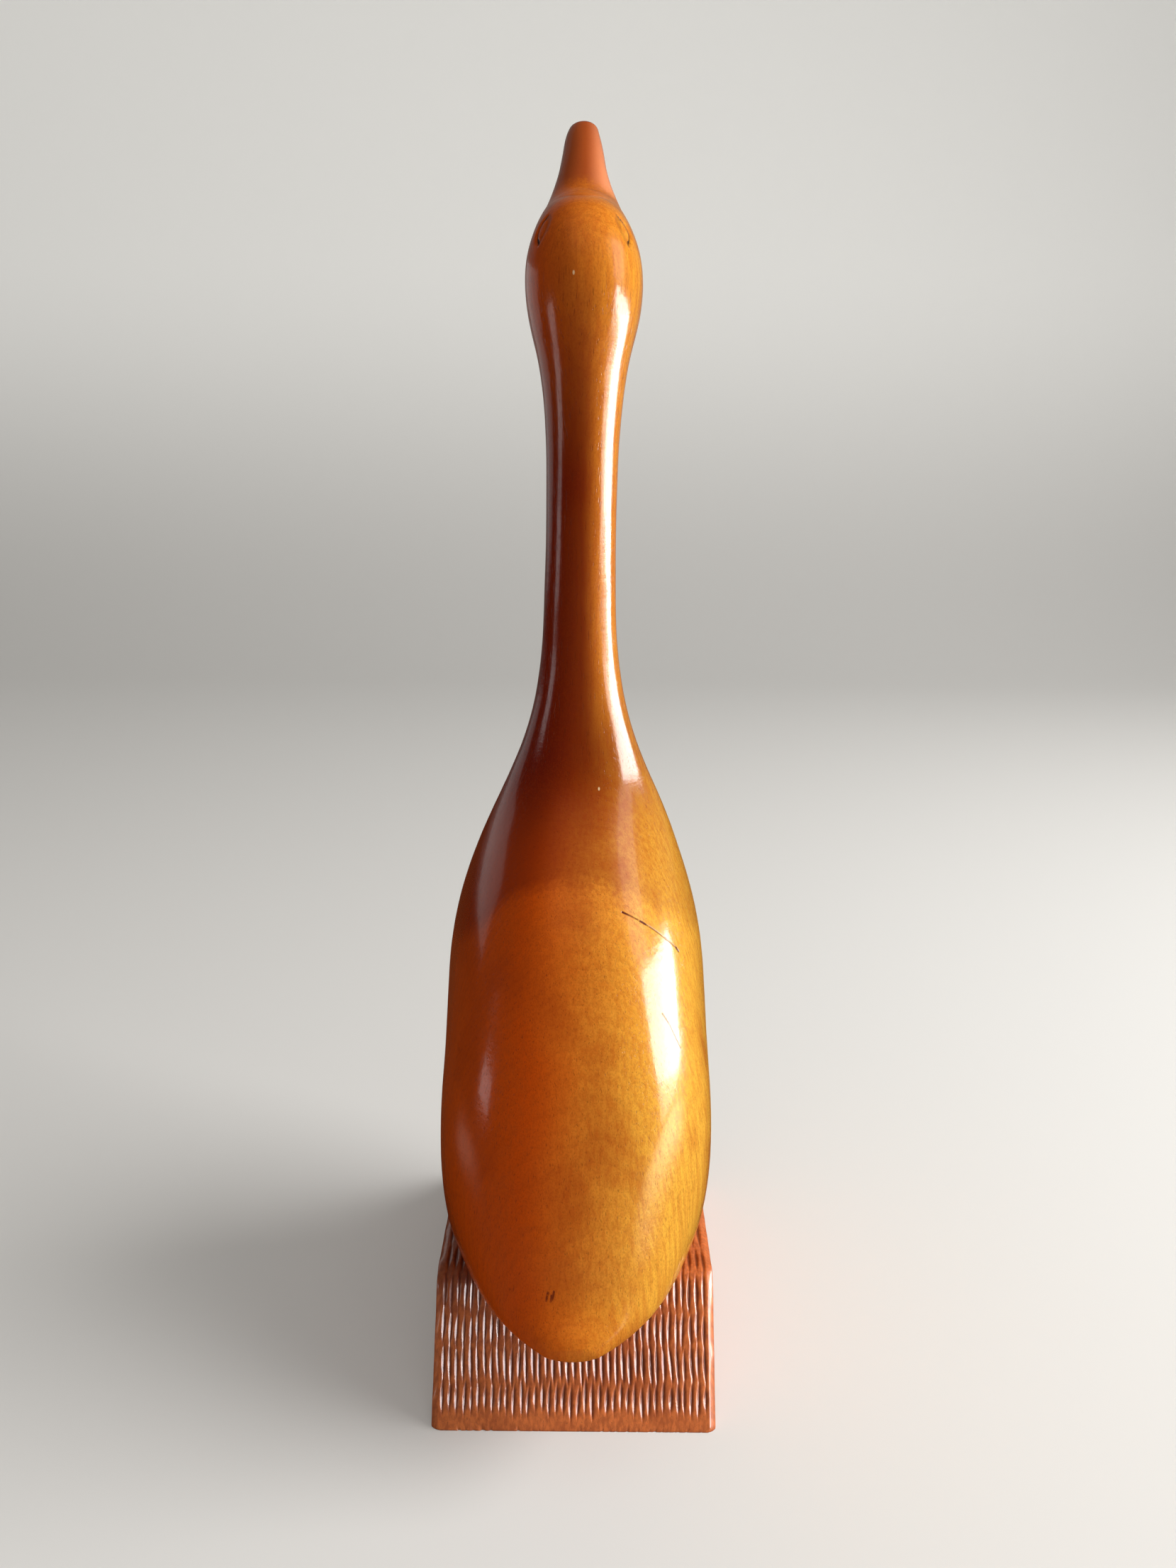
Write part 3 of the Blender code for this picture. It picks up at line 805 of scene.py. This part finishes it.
crack = from_line(place, CRACK[0], CRACK[1]).fade(0.40, 0.14)
for start, end in zip(CRACK[1:], CRACK[2:]):
    crack = crack.most(from_line(place, start, end).fade(0.36, 0.10) * 0.7)
chip_end = Vector(CRACK[-1]) + Vector(CHIP_RUN)
crack = crack.most(from_line(place, CRACK[-1], chip_end).fade(0.55, 0.25))
for start, end in zip(HAIRLINE, HAIRLINE[1:]):
    crack = crack.most(from_line(place, start, end).fade(0.26, 0.08) * 0.8)
for middle in KNOT:
    top = Vector(middle) + Vector((0.3, 0.2, KNOT_HEIGHT * 0.5))
    foot = Vector(middle) - Vector((0, 0, KNOT_HEIGHT * 0.4))
    crack = crack.most(from_line(place, foot, top).fade(0.42, 0.1) * 0.8)
ragged = place.noise((0.5, 0.5, 0.9), 2.0).fade(0.24, 0.44)
colour = colour.toward(paint(92, 24, 14), crack * ragged)
for speck in SPECKS:
    from_speck = place.vector("SUBTRACT", speck).vector("MULTIPLY", (1.6, 1.0, 0.8)).length()
    colour = colour.toward(paint(250, 214, 160), from_speck.fade(0.5, 0.2) * 0.8)

wrinkles = place.noise((0.55, 0.55, 0.32), 2.0)
roughness = 0.12 + figure.fibres * 0.10 + eye_line * 0.2
height = (figure.ripple * 0.030 + wrinkles * 0.016 + figure.fibres * 0.014 - figure.rings * 0.008
          - figure.pores * 0.016 - crack * 0.10 - eye_line * 0.06 - bill_crease_shade * 0.03)
coat = 0.35 * (1.0 - crack.most(eye_line))
finish_with(bird_wood, bird_shader, colour, roughness, height, coat, coat_roughness=0.07)
bird.data.materials.append(bird_wood)

# %% [markdown]
# ## Brown stain on the base
# The base has the same wood and the same varnish over a brown stain. The depth of each cut, kept
# on the mesh, darkens it: painted shade in the valleys, with some stain pooled there as well. On the
# plain sides and along the foot the upright grain shows. High on the left, beside the body, the base
# is painted a darker brown: the body's painted shadow.

# %% Finish the base
base_wood, base_shader = new_material("brown stain")
figure = Figure(base_wood)
place = figure.place
cut = place.node("ShaderNodeAttribute", {"attribute_name": "cut"}, {}, "Fac")

colour = place.flat_colour(paint(226, 124, 62))
colour = colour.toward(paint(168, 80, 36), figure.fibres.fade(0.35, 0.65) * 0.6)
colour = colour.toward(paint(128, 58, 28), figure.rings * 0.15)
colour = colour.toward(paint(140, 56, 20), figure.clouds.fade(0.45, 0.7) * 0.4)
colour = colour.toward(paint(84, 32, 14), figure.pores * 0.3)
# painted shade in the valleys, darker with the depth of each cut, with some pooled stain
colour = colour.toward(paint(78, 22, 9), cut.fade(0.10, 0.8) * 0.70)
# painted shadow: the body's shadow on the top left of the base is painted a darker brown
painted_body_shadow = place.part("X").fade(-14.0, -26.0) * place.part("Z").fade(19.0, 31.0)
colour = colour.toward(paint(90, 22, 10), painted_body_shadow * 0.6)

roughness = 0.34 + figure.fibres * 0.12
height = figure.fibres * 0.02 - figure.pores * 0.02 + place.noise((0.6, 0.6, 5.0), 2.0) * 0.03
coat = 1.0 - 0.3 * figure.fibres
finish_with(base_wood, base_shader, colour, roughness, height, coat, coat_roughness=0.06)
base.data.materials.append(base_wood)

# %% [markdown]
# ## Floor and light
# The stage is a plain pale sweep: a floor that curves up into a wall, so that no horizon shows.
# The varnish mirrors whatever stands round it, so what it sees is chosen apart from what the eye
# sees: for glossy rays, the Light Path node makes sweep and sky a dim brown room. A polished table
# would also throw back the light of a window, so for glossy rays two soft spots on the floor glow.
# They make the soft sheens low on the bird's flanks.

# %% Build the stage
FLOOR_NEAR, FLOOR_FAR = -1.6, 1.5       # metres from the carving
FLOOR_HALF_WIDTH = 2.2
WALL_TURN = 0.6
WALL_TOP = 2.2


def pale_stage():
    turn = [
        (FLOOR_FAR - WALL_TURN + WALL_TURN * math.sin(angle), WALL_TURN - WALL_TURN * math.cos(angle))
        for angle in np.linspace(0, math.pi / 2, 17)
    ]
    side_view = [(FLOOR_NEAR, 0.0), *turn, (FLOOR_FAR, WALL_TOP)]
    points = [(side, y, z) for y, z in side_view for side in (-FLOOR_HALF_WIDTH, FLOOR_HALF_WIDTH)]
    faces = [(row * 2, row * 2 + 1, row * 2 + 3, row * 2 + 2) for row in range(len(side_view) - 1)]
    mesh = bpy.data.meshes.new("pale_sweep")
    mesh.from_pydata(points, [], faces)
    mesh.shade_smooth()
    sweep = bpy.data.objects.new("pale_sweep", mesh)
    bpy.context.scene.collection.objects.link(sweep)
    return sweep


SHEENS = (                      # where the table shines: place, reach and light
    ((0.48, -0.15, 0), (0.34, 0.25, 1), (7.5, 6.6, 4.6, 1)),
    ((-0.24, -0.02, 0), (0.09, 0.09, 1), (0.4, 0.36, 0.3, 1)),
)


def stage_paint():
    material, shader = new_material("pale stage")
    start = Wire(material.node_tree)
    glossy = start.node("ShaderNodeLightPath", {}, {}, "Is Glossy Ray")
    camera_sees = start.node("ShaderNodeLightPath", {}, {}, "Is Camera Ray")
    spot = start.node("ShaderNodeTexCoord", {}, {}, "Object")
    up, away = spot.part("Z"), spot.part("Y")
    pale = start.flat_colour(paint(208, 206, 202))
    colour = pale.toward(paint(96, 50, 28), glossy * (0.5 + 0.5 * away.fade(1.35, 0.7)))
    black = start.flat_colour((0, 0, 0, 1))
    glow = black.toward((0.36, 0.36, 0.345, 1), camera_sees * (0.30 + 0.70 * up.fade(0.0, 0.5)))
    for place, reach, light in SHEENS:
        sheen = spot.vector("SUBTRACT", place).vector("DIVIDE", reach).length().fade(1.0, 0.2)
        glow = glow.toward(light, sheen * glossy)
    material.node_tree.links.new(colour.socket, shader.inputs["Base Color"])
    material.node_tree.links.new(glow.socket, shader.inputs["Emission Color"])
    shader.inputs["Emission Strength"].default_value = 1.0
    shader.inputs["Roughness"].default_value = 0.8
    shader.inputs["Specular IOR Level"].default_value = 0.0
    return material


sweep = pale_stage()
sweep.data.materials.append(stage_paint())

world = bpy.data.worlds.new("room")
world.use_nodes = True
bpy.context.scene.world = world
start = Wire(world.node_tree)
glossy = start.node("ShaderNodeLightPath", {}, {}, "Is Glossy Ray")
camera_sees = start.node("ShaderNodeLightPath", {}, {}, "Is Camera Ray")
sky = start.flat_colour((0.19, 0.18, 0.17, 1))
sky = sky.toward((0.05, 0.03, 0.02, 1), glossy)
sky = sky.toward((0.66, 0.65, 0.62, 1), camera_sees)
world.node_tree.links.new(sky.socket, world.node_tree.nodes["Background"].inputs["Color"])
print("stage and sky are ready")

# %% [markdown]
# Varnish shows a lamp twice: once as light on the wood, once as its own picture in the gloss. Here
# the two are parted. The windows, the curtain and the wall are only mirrored, and each stands where
# its picture falls on the right streak of gloss. Daylight from the right and a wide ceiling light
# the wood and cast the shadow, and are not mirrored at all. The walls of the gouge cuts face
# another way than the bird does, so they have a window of their own, linked to the base alone.

# %% Hang the lights
AIM = Vector((0, 0, 0.14))
WHITE = (1.0, 1.0, 1.0)
# name, place, width, height, brightness, tint and lean in degrees
MIRRORED = (
    ("window_right", (0.95, 0.02, 0.150), 0.80, 0.21, 13.0, WHITE, -14),
    ("window_sill", (0.96, 0.01, 0.050), 0.88, 0.14, 6.0, (1.0, 0.95, 0.80), 0),
    ("curtain", (0.95, -0.15, 0.66), 0.46, 0.62, 1.5, (1.0, 0.90, 0.88), -25),
    ("window_left", (-0.95, -0.21, 0.060), 0.26, 0.15, 1.5, WHITE, 0),
    ("wall_left", (-1.10, 1.00, 0.30), 1.30, 0.55, 0.35, WHITE, 0),
)
LIGHTING = (
    ("daylight", (0.85, -0.10, 0.72), 0.70, 0.70, 9.6, WHITE, 0),
    ("ceiling", (0.10, -0.50, 1.50), 1.60, 1.60, 0.62, WHITE, 0),
)
GLINT = ("glint", (0.95, -0.50, 0.13), 0.62, 0.25, 11.0, (0.96, 0.95, 1.0), 0)


def hang(name, place, width, height, brightness, tint, lean):
    light = bpy.data.lights.new(name, "AREA")
    light.shape = "RECTANGLE"
    light.size, light.size_y = width, height
    light.energy = brightness * math.pi * width * height
    light.color = tint
    lamp = bpy.data.objects.new(name, light)
    lamp.location = place
    facing = (Vector(place) - AIM).to_track_quat("Z", "Y")
    lamp.rotation_euler = (facing @ Quaternion((0, 0, 1), math.radians(lean))).to_euler()
    lamp.visible_camera = False
    bpy.context.scene.collection.objects.link(lamp)
    print(name, round(light.energy, 1), "W")
    return lamp


for row in MIRRORED:
    hang(*row).visible_diffuse = False
for row in LIGHTING:
    hang(*row).visible_glossy = False

glint = hang(*GLINT)
glint.visible_diffuse = False
gouged = bpy.data.collections.new("gouged")
gouged.objects.link(base)
glint.light_linking.receiver_collection = gouged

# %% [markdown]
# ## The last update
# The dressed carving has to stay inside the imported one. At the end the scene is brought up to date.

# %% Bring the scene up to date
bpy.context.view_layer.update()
